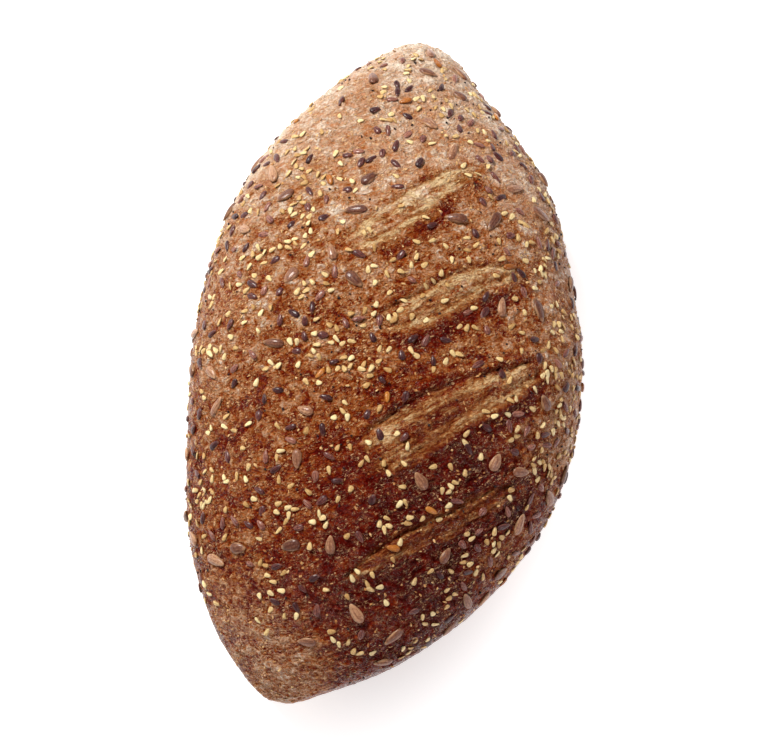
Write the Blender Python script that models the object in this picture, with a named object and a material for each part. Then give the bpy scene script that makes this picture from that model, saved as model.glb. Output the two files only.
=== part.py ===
"""A five-grain hearth loaf with four oven-sprung scores and a seeded crust.

The loaf lies on its flat base on the plane z = 0. Its long side runs along Y, the crown is up, and the
origin is under the middle of the loaf. The crust is a closed skin swept along the loaf from an outline
seen from above, a crown height and a rounded heel. The scores are relief in that skin, and the largest
seeds are fused to it.
"""

import math
import random
from typing import NamedTuple

import bmesh
import bpy
import numpy as np
from mathutils import Matrix, Vector

MM = 0.001

# The loaf's main sizes: over all, at the widest line round its sides and at both tips.
LENGTH = 282 * MM
HEIGHT = 86 * MM
BELLY_HEIGHT = 36 * MM
TIP_HEIGHT = 24 * MM

# The outline seen from above: how far the left and right sides stand from the long axis, at stations
# that run from the near tip to the far tip and lie closer together towards the tips.
LEFT_SIDE = np.array([-16, -30, -48, -63, -71.5, -77, -74.5, -62, -42, -21.5, -13.5]) * MM
RIGHT_SIDE = np.array([-16, 1, 32.5, 61, 79, 81.5, 71.5, 54, 27, 6.5, -13.5]) * MM

# The cross-section: a dome over the belly, and a heel that turns in to the flat base.
CROWN_TAPER = 1.15
CROWN_LEAN = 5 * MM
DOME_FULLNESS = 2.15
HEEL_FULLNESS = 2.2
HEEL_SHARE = 0.3
BASE_SHARE = 0.70
BASE_LENGTH = 236 * MM

# Slow swells of the dough over the dome: height, wavelengths across and along the loaf, and phase.
SWELLS = (
    (1.1 * MM, 150 * MM, 190 * MM, 3.74),
    (0.7 * MM, -110 * MM, 95 * MM, 5.24),
    (0.4 * MM, 60 * MM, -75 * MM, 0.86),
)

# The skin is made fine and thinned to this many triangles, which gathers them at the scores.
SKIN_STEPS_ALONG = 300
SKIN_STEPS_ROUND = 360
SKIN_TRIANGLES = 4600
BASE_SNAP = 0.05 * MM


class Score(NamedTuple):
    """One cut across the top, seen from above, that the oven opened.

    It is widest at a share of its length and bows away from a straight line. Its crease lies at a share of
    the half width from the middle line, towards the raised upper lip.
    """

    start: tuple[float, float]
    end: tuple[float, float]
    width: float
    widest: float
    bow: float
    depth: float
    lip: float
    crease: float
    phase: float


SCORES = (
    Score((-21 * MM, 29 * MM), (28 * MM, 79 * MM), 14 * MM, 0.35, 1.5 * MM, 1.6 * MM, 0.8 * MM, 0.85, 0.4),
    Score((-4 * MM, 0 * MM), (54 * MM, 42 * MM), 15 * MM, 0.40, 1.0 * MM, 1.8 * MM, 0.9 * MM, 0.80, 1.9),
    Score((-4 * MM, -53 * MM), (67 * MM, 6 * MM), 22 * MM, 0.33, -1.0 * MM, 2.2 * MM, 1.3 * MM, 0.85, 3.1),
    Score((-3 * MM, -101 * MM), (70 * MM, -44 * MM), 10 * MM, 0.55, 3.0 * MM, 1.4 * MM, 0.7 * MM, 0.60, 5.0),
)
# A score wanders from its line this far and this often, is drawn to a point at both ends and fades there.
SCORE_WANDER = 0.9 * MM
SCORE_WAVES = 1.6
SCORE_BLUNTNESS = 0.7
SCORE_FADE = 0.18

# How wide the lip, the crease, the torn face and the rim of a score are, and how high against its depth
# and its lip. Where a share is given, it is of the score's half width.
LIP_SPREAD = 3.0 * MM
BAND_MARGIN = 1.0 * MM
BAND_SHARE = 0.3
CREASE_SPREAD = 1.5 * MM
CREASE_SPREAD_SHARE = 0.12
CREASE_SHARE = 0.8
FACE_OFFSET_SHARE = 0.75
FACE_SPREAD = 1.0 * MM
FACE_SPREAD_SHARE = 0.35
RIM_SPREAD = 2.2 * MM
RIM_SHARE = 0.6

# The relief stands fully on the dome and fades out between these shares of the way up from the belly.
RELIEF_FROM = 0.05
RELIEF_TO = 0.45


class Seed(NamedTuple):
    """One kind of seed: its size, how many lie on the loaf and how its mesh is made."""

    name: str
    length: float
    width: float
    thickness: float
    count: int
    spacing: float
    sides: int
    rings: int
    colour: tuple[float, float, float]


KERNEL = Seed("sunflower_kernel", 8.4 * MM, 4.4 * MM, 2.4 * MM, 58, 11 * MM, 6, 3, (0.35, 0.25, 0.16))
FLAX = Seed("flax_seed", 5 * MM, 2.6 * MM, 1.5 * MM, 96, 6.5 * MM, 6, 2, (0.09, 0.04, 0.03))
SEED_DRAW = 5
SEED_TILT = math.radians(8)
SEED_SUNK_SHARE = 0.28
SEED_BLUNTNESS = 0.8
SEED_SKEW = 0.8

# Seeds lie clear of the scores and of the bare spots (x, y and radius), between two cross-sections, and
# down to a height that rises towards the tips.
SEED_MARGIN = 3.5 * MM
SCORE_END_SHARE = 0.03
SEEDED_FROM = -122 * MM
SEEDED_TO = 131 * MM
SEEDED_FROM_HEIGHT = 29 * MM
SEEDED_RISE = 16 * MM
BARE_SPOTS = (
    (-46 * MM, 96 * MM, 25 * MM),
    (-38 * MM, -122 * MM, 22 * MM),
    (24 * MM, -26 * MM, 11 * MM),
)

CRUST_COLOUR = (0.27, 0.09, 0.035)
CRUST_ROUGHNESS = 0.45
SEED_ROUGHNESS = 0.5
SHARP_ANGLE = math.radians(40)


def clear_scene():
    """Removes whatever the scene holds."""
    for thing in list(bpy.data.objects):
        bpy.data.objects.remove(thing, do_unlink=True)


def through_stations(stations, reach):
    """A smooth line through evenly spaced stations, read at reach, from -1 to 1."""
    last = len(stations) - 1
    place = (np.asarray(reach) + 1) / 2 * last
    index = np.clip(np.floor(place).astype(int), 0, last - 1)
    share = place - index
    padded = np.concatenate(
        [[2 * stations[0] - stations[1]], stations, [2 * stations[-1] - stations[-2]]]
    )
    before, near, far, after = (padded[index + step] for step in range(4))
    return 0.5 * (
        2 * near
        + (far - before) * share
        + (2 * before - 5 * near + 4 * far - after) * share**2
        + (3 * near - 3 * far + after - before) * share**3
    )


def signed_power(value, power):
    """A power that keeps its value's sign."""
    return np.sign(value) * np.abs(value) ** power


def smooth_step(value, low, high):
    """0 below low, 1 above high, and a smooth rise between them."""
    share = np.clip((value - low) / (high - low), 0, 1)
    return share * share * (3 - 2 * share)


def hump(away, spread):
    """A round hump, 1 at its top and nearly 0 at twice its spread from there."""
    return np.exp(-((away / spread) ** 2))


def section_shares(turn, base_share):
    """Where a point at this share of a turn lies on the cross-section, across and up, from -1 to 1."""
    turn = np.mod(turn, 1)
    angle = 2 * math.pi * turn
    dome_across = signed_power(np.cos(angle), 2 / DOME_FULLNESS)
    dome_up = signed_power(np.abs(np.sin(angle)), 2 / DOME_FULLNESS)
    under = np.clip(2 * turn - 1, 0, 1)
    mirrored = np.minimum(under, 1 - under)
    heel_angle = np.clip(mirrored / HEEL_SHARE, 0, 1) * math.pi / 2
    heel_across = base_share + (1 - base_share) * np.cos(heel_angle) ** (2 / HEEL_FULLNESS)
    flat_across = base_share * (0.5 - mirrored) / (0.5 - HEEL_SHARE)
    side = np.where(under < 0.5, -1, 1)
    under_across = side * np.where(mirrored < HEEL_SHARE, heel_across, flat_across)
    under_up = -(np.sin(heel_angle) ** (2 / HEEL_FULLNESS))
    on_dome = turn < 0.5
    return np.where(on_dome, dome_across, under_across), np.where(on_dome, dome_up, under_up)


def plain_points(reach, turn):
    """The loaf's skin without its scores, at shares of its length (-1 to 1) and of a turn (0 to 1)."""
    fullness = np.cos(reach * math.pi / 2)
    left = through_stations(LEFT_SIDE, reach)
    right = through_stations(RIGHT_SIDE, reach)
    crown = TIP_HEIGHT + (HEIGHT - TIP_HEIGHT) * fullness**CROWN_TAPER
    belly = TIP_HEIGHT + (BELLY_HEIGHT - TIP_HEIGHT) * fullness
    y = np.sin(reach * math.pi / 2) * LENGTH / 2
    past_base = np.clip((np.abs(y) - BASE_LENGTH / 2) / ((LENGTH - BASE_LENGTH) / 2), 0, 1)
    heel = TIP_HEIGHT * (1 - np.sqrt(1 - past_base**2))
    across, up = section_shares(turn, BASE_SHARE * np.sqrt(1 - past_base**2))
    lean = CROWN_LEAN * fullness * np.clip(up, 0, 1) ** 2
    x = (left + right) / 2 + (right - left) / 2 * across + lean
    y = y + 0 * x
    z = belly + np.where(up > 0, crown - belly, belly - heel) * up
    return np.stack([x, y, z], axis=-1)


def score_place(score, x, y):
    """Where a point lies in a score: the share of its length, the distance from its middle line towards
    the upper lip, and the score's half width there."""
    start = np.array(score.start)
    run = np.array(score.end) - start
    length = math.hypot(*run)
    direction = run / length
    offset_x, offset_y = x - start[0], y - start[1]
    share = (offset_x * direction[0] + offset_y * direction[1]) / length
    inside = np.clip(share, 0, 1)
    aside = offset_y * direction[0] - offset_x * direction[1]
    wander = SCORE_WANDER * np.sin(2 * math.pi * SCORE_WAVES * inside + score.phase)
    aside = aside - score.bow * 4 * inside * (1 - inside) - wander
    skew = math.log(0.5) / math.log(score.widest)
    half_width = score.width / 2 * np.sin(math.pi * inside**skew) ** SCORE_BLUNTNESS
    return share, aside, half_width


def score_relief(score, x, y):
    """How far a score lifts or sinks the skin: a raised lip, a sunk band with a deep crease in it, a torn
    face that swells beside the crease, and a low rim along the lower edge."""
    share, aside, half_width = score_place(score, x, y)
    opening = smooth_step(share, 0, SCORE_FADE) * (1 - smooth_step(share, 1 - SCORE_FADE, 1))
    lip = score.lip * hump(aside - half_width - LIP_SPREAD / 2, LIP_SPREAD)
    band = BAND_SHARE * score.depth * np.exp(-((aside / (half_width + BAND_MARGIN)) ** 4))
    crease_at = score.crease * half_width
    crease_spread = CREASE_SPREAD_SHARE * half_width + CREASE_SPREAD
    crease = CREASE_SHARE * score.depth * hump(aside - crease_at, crease_spread)
    face_spread = FACE_SPREAD_SHARE * half_width + FACE_SPREAD
    face = score.lip * hump(aside - crease_at + FACE_OFFSET_SHARE * half_width, face_spread)
    rim = RIM_SHARE * score.lip * hump(aside + half_width + RIM_SPREAD / 2, RIM_SPREAD)
    return opening * (lip - band - crease + face + rim)


def dome_relief(points, turn):
    """The relief over the whole dome: slow swells of the dough and the scores."""
    x, y = points[..., 0], points[..., 1]
    relief = np.zeros_like(x)
    for height, across, along, phase in SWELLS:
        relief += height * np.sin(2 * math.pi * (x / across + y / along) + phase)
    for score in SCORES:
        relief += score_relief(score, x, y)
    on_dome = np.clip(np.sin(2 * math.pi * np.clip(turn, 0, 0.5)), 0, 1)
    return relief * smooth_step(on_dome, RELIEF_FROM, RELIEF_TO)


def skin_normals(surface, reach, turn):
    """Outward normals of a surface function, from two short steps along the skin."""
    step = 1e-4
    along = surface(reach + step, turn) - surface(reach - step, turn)
    round_it = surface(reach, turn + step) - surface(reach, turn - step)
    normals = np.cross(along, round_it)
    return normals / np.linalg.norm(normals, axis=-1, keepdims=True)


def skin_points(reach, turn):
    """The crust's outer surface, scores included."""
    plain = plain_points(reach, turn)
    normals = skin_normals(plain_points, reach, turn)
    return plain + normals * dome_relief(plain, turn)[..., None]


def new_material(name, colour, roughness):
    """A plain Principled finish."""
    material = bpy.data.materials.new(name)
    material.use_nodes = True
    shader = material.node_tree.nodes["Principled BSDF"]
    shader.inputs["Base Color"].default_value = (*colour, 1)
    shader.inputs["Roughness"].default_value = roughness
    shader.inputs["Metallic"].default_value = 0.0
    return material


def new_object(name, bm, material, collection):
    """Turns a bmesh into a named object with one material."""
    mesh = bpy.data.meshes.new(name)
    bm.to_mesh(mesh)
    bm.free()
    mesh.materials.append(material)
    thing = bpy.data.objects.new(name, mesh)
    collection.objects.link(thing)
    return thing


def evaluated_mesh(thing):
    """The object's mesh with its modifiers applied."""
    graph = bpy.context.evaluated_depsgraph_get()
    return bpy.data.meshes.new_from_object(thing.evaluated_get(graph), depsgraph=graph)


def build_skin(material):
    """The crust without seeds: a fine closed skin, thinned so that its triangles gather at the relief."""
    reaches = np.linspace(-1, 1, SKIN_STEPS_ALONG + 1)[1:-1]
    turns = np.arange(SKIN_STEPS_ROUND) / SKIN_STEPS_ROUND
    reach_grid, turn_grid = np.meshgrid(reaches, turns, indexing="ij")
    points = skin_points(reach_grid, turn_grid)
    tips = [plain_points(np.array(end), np.array(0.0)) for end in (-1.0, 1.0)]

    bm = bmesh.new()
    rings = [[bm.verts.new(point) for point in ring] for ring in points]
    near_tip, far_tip = (bm.verts.new(tip) for tip in tips)
    for ring, next_ring in zip(rings, rings[1:]):
        for here in range(SKIN_STEPS_ROUND):
            there = (here + 1) % SKIN_STEPS_ROUND
            bm.faces.new((ring[here], ring[there], next_ring[there], next_ring[here]))
    for here in range(SKIN_STEPS_ROUND):
        there = (here + 1) % SKIN_STEPS_ROUND
        bm.faces.new((near_tip, rings[0][there], rings[0][here]))
        bm.faces.new((far_tip, rings[-1][here], rings[-1][there]))
    bmesh.ops.recalc_face_normals(bm, faces=bm.faces)
    bmesh.ops.triangulate(bm, faces=bm.faces)
    full_count = len(bm.faces)

    skin = new_object("loaf", bm, material, bpy.context.scene.collection)
    thinning = skin.modifiers.new("thinning", "DECIMATE")
    thinning.ratio = SKIN_TRIANGLES / full_count
    thinned = evaluated_mesh(skin)
    skin.modifiers.clear()
    skin.data = thinned
    for vertex in thinned.vertices:
        if abs(vertex.co.z) < BASE_SNAP:
            vertex.co.z = 0.0
    return skin


def seed_profile(share):
    """A seed's radius at a share of its length: round at one end and drawn to a point at the other."""
    return math.sin(math.pi * share**SEED_SKEW) ** SEED_BLUNTNESS


def build_seed(kind, name, place, material, collection):
    """One seed as a faceted drop, at its true size, turned and placed on the crust."""
    bm = bmesh.new()
    blunt = bm.verts.new((-kind.length / 2, 0, 0))
    point = bm.verts.new((kind.length / 2, 0, 0))
    rings = []
    for step in range(1, kind.rings + 1):
        share = step / (kind.rings + 1)
        radius = seed_profile(share)
        ring = []
        for side in range(kind.sides):
            angle = 2 * math.pi * side / kind.sides
            across = kind.width / 2 * radius * math.cos(angle)
            up = kind.thickness / 2 * radius * math.sin(angle)
            ring.append(bm.verts.new(((share - 0.5) * kind.length, across, up)))
        rings.append(ring)
    for here in range(kind.sides):
        there = (here + 1) % kind.sides
        bm.faces.new((blunt, rings[0][there], rings[0][here]))
        bm.faces.new((point, rings[-1][here], rings[-1][there]))
        for ring, next_ring in zip(rings, rings[1:]):
            bm.faces.new((ring[here], ring[there], next_ring[there], next_ring[here]))
    bmesh.ops.recalc_face_normals(bm, faces=bm.faces)
    bmesh.ops.transform(bm, matrix=place, verts=bm.verts)
    return new_object(name, bm, material, collection)


def is_bare(x, y):
    """Whether a point seen from above lies in a bare spot, in a score or close to one."""
    for spot_x, spot_y, radius in BARE_SPOTS:
        if math.hypot(x - spot_x, y - spot_y) < radius:
            return True
    for score in SCORES:
        share, aside, half_width = score_place(score, np.array(x), np.array(y))
        if -SCORE_END_SHARE < share < 1 + SCORE_END_SHARE and abs(aside) < half_width + SEED_MARGIN:
            return True
    return False


def seed_place(kind, reach, turn, draw):
    """The matrix that lays a seed on the crust, turned at random and tilted a little."""
    here = (np.array(reach), np.array(turn))
    point = Vector(skin_points(*here))
    normal = Vector(skin_normals(skin_points, *here))
    upright = normal.to_track_quat("Z", "Y").to_matrix().to_4x4()
    turned = Matrix.Rotation(draw.uniform(0, 2 * math.pi), 4, "Z")
    tilted = Matrix.Rotation(draw.uniform(-SEED_TILT, SEED_TILT), 4, "X")
    raised = point + normal * kind.thickness * (0.5 - SEED_SUNK_SHARE)
    return Matrix.Translation(raised) @ upright @ turned @ tilted


def scatter_seeds(kinds, materials, collection):
    """Spreads each kind of seed evenly over the seeded crust, the largest first, clear of the scores
    and of each other."""
    draw = random.Random(SEED_DRAW)
    taken = []
    for kind in kinds:
        laid = 0
        while laid < kind.count:
            reach, turn = draw.uniform(-1, 1), draw.uniform(0, 0.5)
            spot = plain_points(np.array(reach), np.array(turn))
            fullness = math.cos(reach * math.pi / 2)
            lowest = SEEDED_FROM_HEIGHT + SEEDED_RISE * (1 - fullness)
            if draw.random() > fullness or not SEEDED_FROM < spot[1] < SEEDED_TO or spot[2] < lowest:
                continue
            if is_bare(spot[0], spot[1]):
                continue
            if any(np.linalg.norm(spot - other) < (kind.spacing + gap) / 2 for other, gap in taken):
                continue
            taken.append((spot, kind.spacing))
            name = f"{kind.name}_{laid:03d}"
            place = seed_place(kind, reach, turn, draw)
            build_seed(kind, name, place, materials[kind.name], collection)
            laid += 1


def fuse(skin, collection):
    """Joins the seeds to the skin in one union and removes the loose seeds."""
    union = skin.modifiers.new("fused seeds", "BOOLEAN")
    union.operation = "UNION"
    union.operand_type = "COLLECTION"
    union.collection = collection
    union.solver = "EXACT"
    union.material_mode = "TRANSFER"
    fused = evaluated_mesh(skin)
    skin.modifiers.clear()
    skin.data = fused
    for seed in list(collection.objects):
        bpy.data.objects.remove(seed, do_unlink=True)
    bpy.data.collections.remove(collection)


def main():
    """Builds the loaf as one solid."""
    clear_scene()
    crust = new_material("crust", CRUST_COLOUR, CRUST_ROUGHNESS)
    materials = {kind.name: new_material(kind.name, kind.colour, SEED_ROUGHNESS) for kind in (KERNEL, FLAX)}
    seeds = bpy.data.collections.new("seeds")
    bpy.context.scene.collection.children.link(seeds)
    loaf = build_skin(crust)
    scatter_seeds((KERNEL, FLAX), materials, seeds)
    fuse(loaf, seeds)
    loaf.data.name = "loaf"
    loaf.data.shade_smooth()
    loaf.data.set_sharp_from_angle(angle=SHARP_ANGLE)


main()
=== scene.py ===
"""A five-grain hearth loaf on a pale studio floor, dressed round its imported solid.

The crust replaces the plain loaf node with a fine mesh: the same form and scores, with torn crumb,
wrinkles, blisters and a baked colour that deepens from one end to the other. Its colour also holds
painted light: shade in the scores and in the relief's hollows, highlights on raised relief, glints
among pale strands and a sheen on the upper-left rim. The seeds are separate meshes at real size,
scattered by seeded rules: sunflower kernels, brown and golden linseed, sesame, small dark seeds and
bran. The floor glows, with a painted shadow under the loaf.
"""

from __future__ import annotations

import logging
import math
import random
from dataclasses import dataclass, field
from enum import Enum

import bpy
import numpy as np
from mathutils import Matrix, Vector


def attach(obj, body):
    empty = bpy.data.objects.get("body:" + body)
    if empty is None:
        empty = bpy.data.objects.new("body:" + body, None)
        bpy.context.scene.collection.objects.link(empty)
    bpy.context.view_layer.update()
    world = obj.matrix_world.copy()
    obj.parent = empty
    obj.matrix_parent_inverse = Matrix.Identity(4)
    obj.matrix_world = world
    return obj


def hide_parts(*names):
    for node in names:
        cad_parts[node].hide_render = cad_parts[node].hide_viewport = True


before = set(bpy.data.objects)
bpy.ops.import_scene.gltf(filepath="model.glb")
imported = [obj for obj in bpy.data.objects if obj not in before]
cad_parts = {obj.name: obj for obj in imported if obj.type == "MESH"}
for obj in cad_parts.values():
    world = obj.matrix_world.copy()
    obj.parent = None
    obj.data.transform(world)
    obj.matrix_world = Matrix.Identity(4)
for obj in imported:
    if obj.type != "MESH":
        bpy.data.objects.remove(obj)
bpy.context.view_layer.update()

MM = 0.001
BODY = "root"
NODE = "loaf"
LOG = logging.getLogger("loaf")

Colour = tuple[float, float, float]
Stops = tuple[tuple[float, Colour], ...]


class Field(str, Enum):
    """Names of the attributes that carry a pattern from the meshes to their finishes."""

    BAKE = "bake_and_shade"
    CRUMB = "crumb"
    FLOUR_AND_SHEEN = "flour_and_sheen"
    RISE = "rise"
    LIE = "lie"
    TONE = "tone"
    OWN = "own"


class Slot(str, Enum):
    """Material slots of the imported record."""

    CRUST = "crust"
    SESAME = "sesame"
    FLAX = "flax"
    GOLDEN_FLAX = "golden_flax"
    SUNFLOWER = "sunflower"
    DARK_SEED = "dark_seed"
    BRAN = "bran"


def linear(red: float, green: float, blue: float) -> tuple[float, float, float, float]:
    """A screen colour as the shader's linear one.

    Args:
        red: Red on the screen, 0 to 255.
        green: Green on the screen, 0 to 255.
        blue: Blue on the screen, 0 to 255.

    Returns:
        Linear red, green and blue from 0 to 1, and an alpha of 1.
    """
    shares = (value / 255 for value in (red, green, blue))
    r, g, b = (v / 12.92 if v < 0.04045 else ((v + 0.055) / 1.055) ** 2.4 for v in shares)
    return (r, g, b, 1.0)


def smooth_step(value: np.ndarray, low: float, high: float) -> np.ndarray:
    """A smooth rise from 0 below low to 1 above high.

    Args:
        value: Numbers to judge.
        low: Where the rise starts.
        high: Where the rise ends.

    Returns:
        Shares from 0 to 1.
    """
    share = np.clip((value - low) / (high - low), 0, 1)
    return share * share * (3 - 2 * share)


def signed_power(value: np.ndarray, power: float) -> np.ndarray:
    """A power that keeps its value's sign."""
    return np.sign(value) * np.abs(value) ** power


@dataclass(frozen=True)
class Grain:
    """Smooth seeded noise in space, which may be drawn out along one direction seen from above."""

    size: float
    seed: int
    octaves: int = 1
    stretch: float = 1.0
    heading: float = 0.0

    def _lattice(self, cells: np.ndarray, seed: int) -> np.ndarray:
        """Gradients at the corners of a lattice, as hashed unit directions.

        Args:
            cells: Whole-numbered corners, with shape (..., 3).
            seed: The draw.

        Returns:
            Directions with shape (..., 3).
        """
        mixed = cells[..., 0] * 73856093 ^ cells[..., 1] * 19349663 ^ cells[..., 2] * 83492791
        mixed = (mixed ^ (seed * 2654435761)) & 0xFFFFFFFF
        mixed = ((mixed ^ (mixed >> 15)) * 2246822519) & 0xFFFFFFFF
        mixed = ((mixed ^ (mixed >> 13)) * 3266489917) & 0xFFFFFFFF
        mixed ^= mixed >> 16
        height = (mixed & 0xFFFF) / 32767.5 - 1
        turn = (mixed >> 16) / 65536 * 2 * math.pi
        flat = np.sqrt(1 - height * height)
        return np.stack([flat * np.cos(turn), flat * np.sin(turn), height], axis=-1)

    def _layer(self, places: np.ndarray, seed: int) -> np.ndarray:
        """One octave of gradient noise.

        Args:
            places: Points in lattice units, with shape (n, 3).
            seed: The draw.

        Returns:
            Values from about -1 to 1, with shape (n,).
        """
        floor = np.floor(places)
        cells = floor.astype(np.int64)
        inside = places - floor
        ease = inside**3 * (inside * (inside * 6 - 15) + 10)
        total = np.zeros(len(places))
        for corner in np.ndindex(2, 2, 2):
            step = np.array(corner)
            weight = np.prod(np.where(step == 1, ease, 1 - ease), axis=-1)
            slope = self._lattice(cells + step, seed)
            total += weight * np.einsum("ij,ij->i", slope, inside - step)
        return total * 1.6

    def at(self, points: np.ndarray) -> np.ndarray:
        """The noise at points in metres.

        Args:
            points: Points with shape (n, 3).

        Returns:
            Values from about -1 to 1, with shape (n,).
        """
        turn_cos, turn_sin = math.cos(self.heading), math.sin(self.heading)
        along = points[:, 0] * turn_cos + points[:, 1] * turn_sin
        across = points[:, 1] * turn_cos - points[:, 0] * turn_sin
        places = np.stack([along / self.stretch, across, points[:, 2]], axis=-1) / self.size
        total, reach, weight = np.zeros(len(points)), 0.0, 1.0
        for octave in range(self.octaves):
            total += weight * self._layer(places * 2**octave + 17.3 * octave, self.seed + octave)
            reach += weight
            weight *= 0.55
        return total / reach


@dataclass(frozen=True)
class Score:
    """One cut across the top, seen from above, that the oven opened.

    Its crease lies at a share of the half width from the middle line, towards the raised upper lip.
    """

    start: tuple[float, float]
    end: tuple[float, float]
    width: float
    widest: float
    bow: float
    depth: float
    lip: float
    crease: float
    phase: float
    wander: float = 0.9 * MM
    fade: float = 0.18
    lip_spread: float = 3.0 * MM
    rim_spread: float = 1.4 * MM
    crease_spread: float = 0.5 * MM

    def place(self, x: np.ndarray, y: np.ndarray) -> tuple[np.ndarray, np.ndarray, np.ndarray]:
        """Where a point lies in the score.

        Args:
            x: Points' x seen from above.
            y: Points' y seen from above.

        Returns:
            The share of the score's length, the distance from its middle line towards the upper lip,
            and the score's half width there.
        """
        start = np.array(self.start)
        run = np.array(self.end) - start
        length = math.hypot(*run)
        direction = run / length
        offset_x, offset_y = x - start[0], y - start[1]
        share = (offset_x * direction[0] + offset_y * direction[1]) / length
        inside = np.clip(share, 0, 1)
        aside = offset_y * direction[0] - offset_x * direction[1]
        wander = self.wander * np.sin(2 * math.pi * 1.6 * inside + self.phase)
        aside = aside - self.bow * 4 * inside * (1 - inside) - wander
        skew = math.log(0.5) / math.log(self.widest)
        half_width = self.width / 2 * np.sin(math.pi * inside**skew) ** 0.7
        return share, aside, half_width

    def opening(self, share: np.ndarray) -> np.ndarray:
        """How far the score is open at a share of its length, from 0 to 1."""
        return smooth_step(share, 0, self.fade) * (1 - smooth_step(share, 1 - self.fade, 1))

    def relief(self, points: np.ndarray, fray: np.ndarray, held: np.ndarray) -> np.ndarray:
        """How far the score lifts or sinks the skin.

        Args:
            points: Points with shape (n, 3).
            fray: A wandering of the edges in metres, with shape (n,).
            held: How deep the crease is, as a share of its full depth, with shape (n,).

        Returns:
            Heights in metres, with shape (n,).
        """
        share, aside, half_width = self.place(points[:, 0], points[:, 1])
        aside = aside + fray
        lip = self.lip * np.exp(-(((aside - half_width - self.lip_spread / 2) / self.lip_spread) ** 2))
        band = 0.3 * self.depth * np.exp(-((aside / (half_width + MM)) ** 4))
        crease_at = self.crease * half_width
        crease_spread = 0.04 * half_width + self.crease_spread
        crease = 0.8 * held * self.depth * np.exp(-(((aside - crease_at) / crease_spread) ** 2))
        face_at, face_spread = crease_at - 0.75 * half_width, 0.35 * half_width + MM
        face = self.lip * np.exp(-(((aside - face_at) / face_spread) ** 2))
        rim_at = half_width + self.rim_spread / 2
        rim = 0.8 * self.lip * np.exp(-(((aside + rim_at) / self.rim_spread) ** 2))
        return self.opening(share) * (lip - band - crease + face + rim)

    def torn(self, points: np.ndarray, fray: np.ndarray) -> np.ndarray:
        """Where the crumb shows in the score, from 0 on the crust to 1 in the tear.

        Args:
            points: Points with shape (n, 3).
            fray: A wandering of the edges in metres, with shape (n,).

        Returns:
            Shares with shape (n,).
        """
        share, aside, half_width = self.place(points[:, 0], points[:, 1])
        across = (aside + fray) / (half_width + 0.5 * MM)
        shown = smooth_step(across, -1.5, -0.75) * (1 - smooth_step(across, 0.75, 1.1))
        ridges = np.exp(-(((across - 0.35) / 0.28) ** 2)) + np.exp(-(((across + 0.65) / 0.22) ** 2))
        return self.opening(share) * shown * (0.55 + 0.45 * ridges)

    def scorch_and_shade(self, points: np.ndarray, fray: np.ndarray) -> np.ndarray:
        """How much darker the score leaves the crust: painted shade, with darker baking below its lower edge.

        Args:
            points: Points with shape (n, 3).
            fray: A wandering of the edges in metres, with shape (n,).

        Returns:
            Amounts with shape (n,).
        """
        share, aside, half_width = self.place(points[:, 0], points[:, 1])
        aside = aside + fray
        # Painted shade: in the crack, under the upper lip and, with darker baking, below the lower edge.
        crack = np.exp(-(((aside - self.crease * half_width) / (0.7 * MM)) ** 2))
        upper = np.exp(-(((aside - half_width - 0.6 * MM) / (0.9 * MM)) ** 2))
        below = np.exp(-(((aside + half_width + 4.5 * MM) / (4 * MM)) ** 2))
        return self.opening(share) * (0.22 * crack + 0.16 * upper + 0.30 * below)


@dataclass(frozen=True)
class Patch:
    """A soft patch of the crust, seen from above, in millimetres, with an amount at its middle.

    Its tall value is its length over its width.
    """

    x: float
    y: float
    radius: float
    amount: float
    tall: float = 1.0

    def at(self, points: np.ndarray) -> np.ndarray:
        """The patch's amount at points with shape (n, 3)."""
        across, along = points[:, 0] / MM - self.x, (points[:, 1] / MM - self.y) / self.tall
        return self.amount * np.exp(-(across**2 + along**2) / self.radius**2)


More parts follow.
